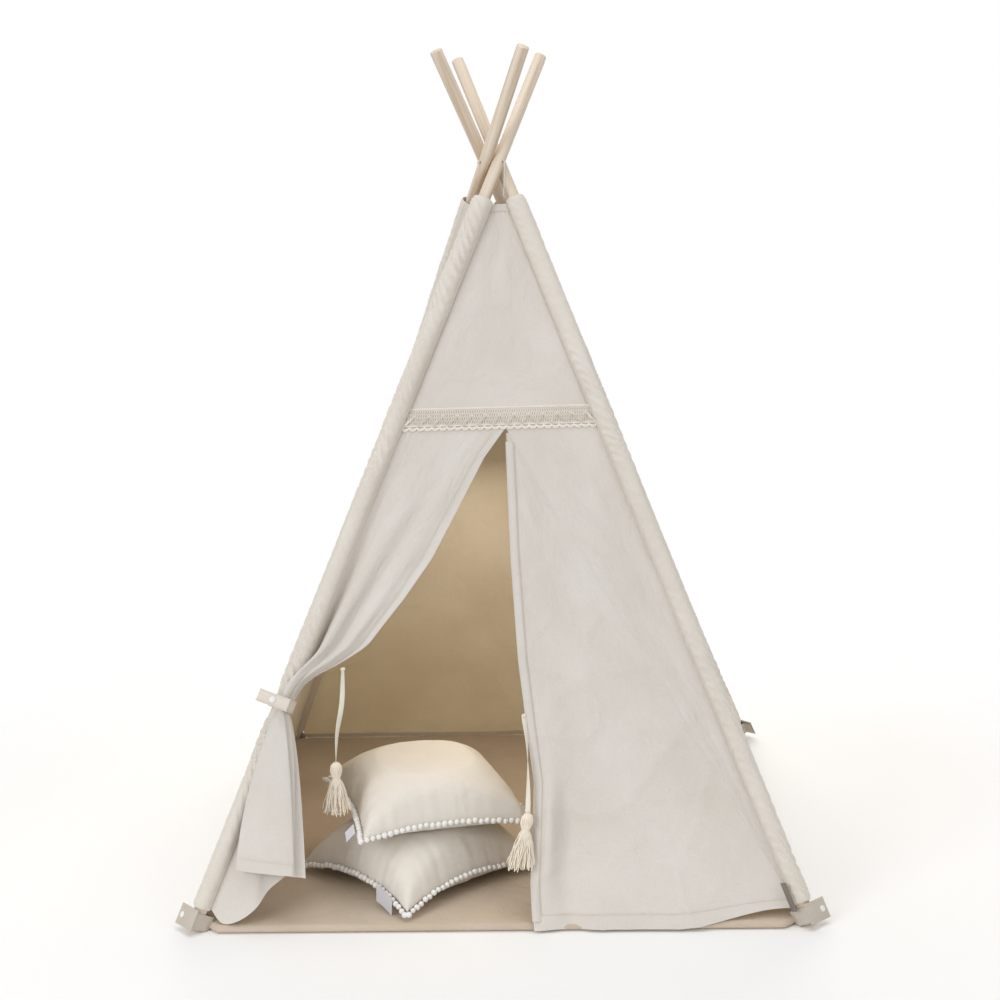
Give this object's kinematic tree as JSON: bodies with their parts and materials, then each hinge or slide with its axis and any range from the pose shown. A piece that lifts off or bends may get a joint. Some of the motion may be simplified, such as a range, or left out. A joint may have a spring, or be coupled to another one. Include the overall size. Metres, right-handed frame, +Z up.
{
  "type": "kids teepee",
  "caption": "Canvas teepee on lashed wooden poles with pole sleeves, a tied-back door flap under a lace band, a snapped-in floor mat and two pompom cushions.",
  "frame": {"origin": "on the floor under the middle of the mat, at the bottom centre of the whole part", "axes": "+Z up, -Y toward the door, +X to the right seen from the door"},
  "size_m": [1.2332, 1.2079, 1.6606],
  "materials": {
    "pole_wood": "satin",
    "canvas": "matte",
    "lace": "matte",
    "cord": "matte",
    "mat_canvas": "matte",
    "cushion_fabric": "matte",
    "pompom": "matte",
    "ribbon": "matte",
    "tassel_yarn": "matte",
    "snap_plastic": "satin"
  },
  "bodies": {
    "mat": {"floor_mat": "mat_canvas", "corner_strap_front_left": "canvas", "corner_strap_front_right": "canvas", "corner_strap_back_right": "canvas", "corner_strap_back_left": "canvas", "corner_front_left_snap_stud": "snap_plastic", "corner_front_right_snap_stud": "snap_plastic", "corner_back_right_snap_stud": "snap_plastic", "corner_back_left_snap_stud": "snap_plastic"},
    "hub": {"lashing_cord": "cord"},
    "front_left_leg": {"pole_front_left": "pole_wood", "sleeve_front_left": "canvas", "front_upper_wall": "canvas", "lace_band": "lace", "door_flap_left": "canvas", "tieback_band": "canvas", "tieback_tab": "canvas", "tieback_snap_stud": "snap_plastic"},
    "front_right_leg": {"pole_front_right": "pole_wood", "sleeve_front_right": "canvas", "front_right_wall": "canvas", "right_wall": "canvas"},
    "back_right_leg": {"pole_back_right": "pole_wood", "sleeve_back_right": "canvas", "back_wall": "canvas"},
    "back_left_leg": {"pole_back_left": "pole_wood", "sleeve_back_left": "canvas", "left_wall": "canvas"},
    "right_flap": {"door_flap_right": "canvas"},
    "left_trim": {"ribbon_left": "ribbon", "tassel_left": "tassel_yarn"},
    "right_trim": {"ribbon_right": "ribbon", "tassel_right": "tassel_yarn"},
    "tie_leaf": {"tieback_leaf": "canvas", "tieback_snap_cap": "snap_plastic"},
    "lower_cushion": {"cushion_lower": "cushion_fabric", "pompoms_lower": "pompom"},
    "upper_cushion": {"cushion_upper": "cushion_fabric", "pompoms_upper": "pompom"},
    "front_left_snap_leaf": {"corner_leaf_front_left": "canvas", "corner_front_left_snap_cap": "snap_plastic"},
    "front_right_snap_leaf": {"corner_leaf_front_right": "canvas", "corner_front_right_snap_cap": "snap_plastic"},
    "back_right_snap_leaf": {"corner_leaf_back_right": "canvas", "corner_back_right_snap_cap": "snap_plastic"},
    "back_left_snap_leaf": {"corner_leaf_back_left": "canvas", "corner_back_left_snap_cap": "snap_plastic"}
  },
  "joints": [
    {"name": "frame_lift", "type": "slide", "parent": "mat", "child": "hub", "axis": [0, 0, 1], "range_m": [0, 1.1], "deforming": ["sleeve_front_left", "sleeve_front_right", "sleeve_back_right", "sleeve_back_left", "front_upper_wall", "lace_band", "door_flap_left", "front_right_wall", "right_wall", "back_wall", "left_wall", "door_flap_right", "ribbon_left", "tassel_left", "ribbon_right", "tassel_right"]},
    {"name": "front_left_fold", "type": "hinge", "parent": "hub", "child": "front_left_leg", "pos_m": [0, 0, 1.434], "axis": [0.6894, -0.7244, 0], "range_deg": [0, 25.42]},
    {"name": "front_right_fold", "type": "hinge", "parent": "hub", "child": "front_right_leg", "pos_m": [0, 0, 1.434], "axis": [0.7244, 0.6894, 0], "range_deg": [0, 25.42]},
    {"name": "back_right_fold", "type": "hinge", "parent": "hub", "child": "back_right_leg", "pos_m": [0, 0, 1.434], "axis": [-0.6894, 0.7244, 0], "range_deg": [0, 25.42]},
    {"name": "back_left_fold", "type": "hinge", "parent": "hub", "child": "back_left_leg", "pos_m": [0, 0, 1.434], "axis": [-0.7244, -0.6894, 0], "range_deg": [0, 25.42]},
    {"name": "right_flap_open", "type": "hinge", "parent": "front_right_leg", "child": "right_flap", "pos_m": [0.28289, -0.38905, 0.47329], "axis": [-0.4946, 0.3258, 0.8058], "range_deg": [0, 120]},
    {"name": "left_tassel_swing", "type": "hinge", "parent": "front_left_leg", "child": "left_trim", "pos_m": [-0.29513, -0.43966, 0.46927], "axis": [-1, 0, 0], "range_deg": [-3, 35]},
    {"name": "right_tassel_swing", "type": "hinge", "parent": "right_flap", "child": "right_trim", "pos_m": [0.05295, -0.43265, 0.37335], "axis": [-1, 0, 0], "range_deg": [0, 30]},
    {"name": "tie_leaf_open", "type": "hinge", "parent": "front_left_leg", "child": "tie_leaf", "pos_m": [-0.39485, -0.47969, 0.40925], "axis": [0.3596, 0.3422, 0.8681], "range_deg": [0, 150]},
    {"name": "front_left_snap_open", "type": "hinge", "parent": "mat", "child": "front_left_snap_leaf", "pos_m": [-0.57009, -0.59404, 0.02907], "axis": [0.3596, 0.3422, 0.8681], "range_deg": [0, 150]},
    {"name": "front_right_snap_open", "type": "hinge", "parent": "mat", "child": "front_right_snap_leaf", "pos_m": [0.56941, -0.59353, 0.02907], "axis": [0.3422, -0.3596, -0.8681], "range_deg": [0, 150]},
    {"name": "back_right_snap_open", "type": "hinge", "parent": "mat", "child": "back_right_snap_leaf", "pos_m": [0.57009, 0.59404, 0.02907], "axis": [-0.3596, -0.3422, 0.8681], "range_deg": [0, 150]},
    {"name": "back_left_snap_open", "type": "hinge", "parent": "mat", "child": "back_left_snap_leaf", "pos_m": [-0.56941, 0.59353, 0.02907], "axis": [-0.3422, 0.3596, -0.8681], "range_deg": [0, 150]},
    {"name": "lower_cushion_lift", "type": "slide", "parent": "mat", "child": "lower_cushion", "axis": [0, 0.375, 0.927], "range_m": [0, 0.12]},
    {"name": "upper_cushion_lift", "type": "slide", "parent": "lower_cushion", "child": "upper_cushion", "axis": [0, 0.375, 0.927], "range_m": [0, 0.12]}
  ],
  "couplings": [
    {"joint": "front_left_fold", "follows": "frame_lift", "rad_per_m": 0.40301},
    {"joint": "front_right_fold", "follows": "frame_lift", "rad_per_m": 0.40301},
    {"joint": "back_right_fold", "follows": "frame_lift", "rad_per_m": 0.40301},
    {"joint": "back_left_fold", "follows": "frame_lift", "rad_per_m": 0.40301}
  ]
}
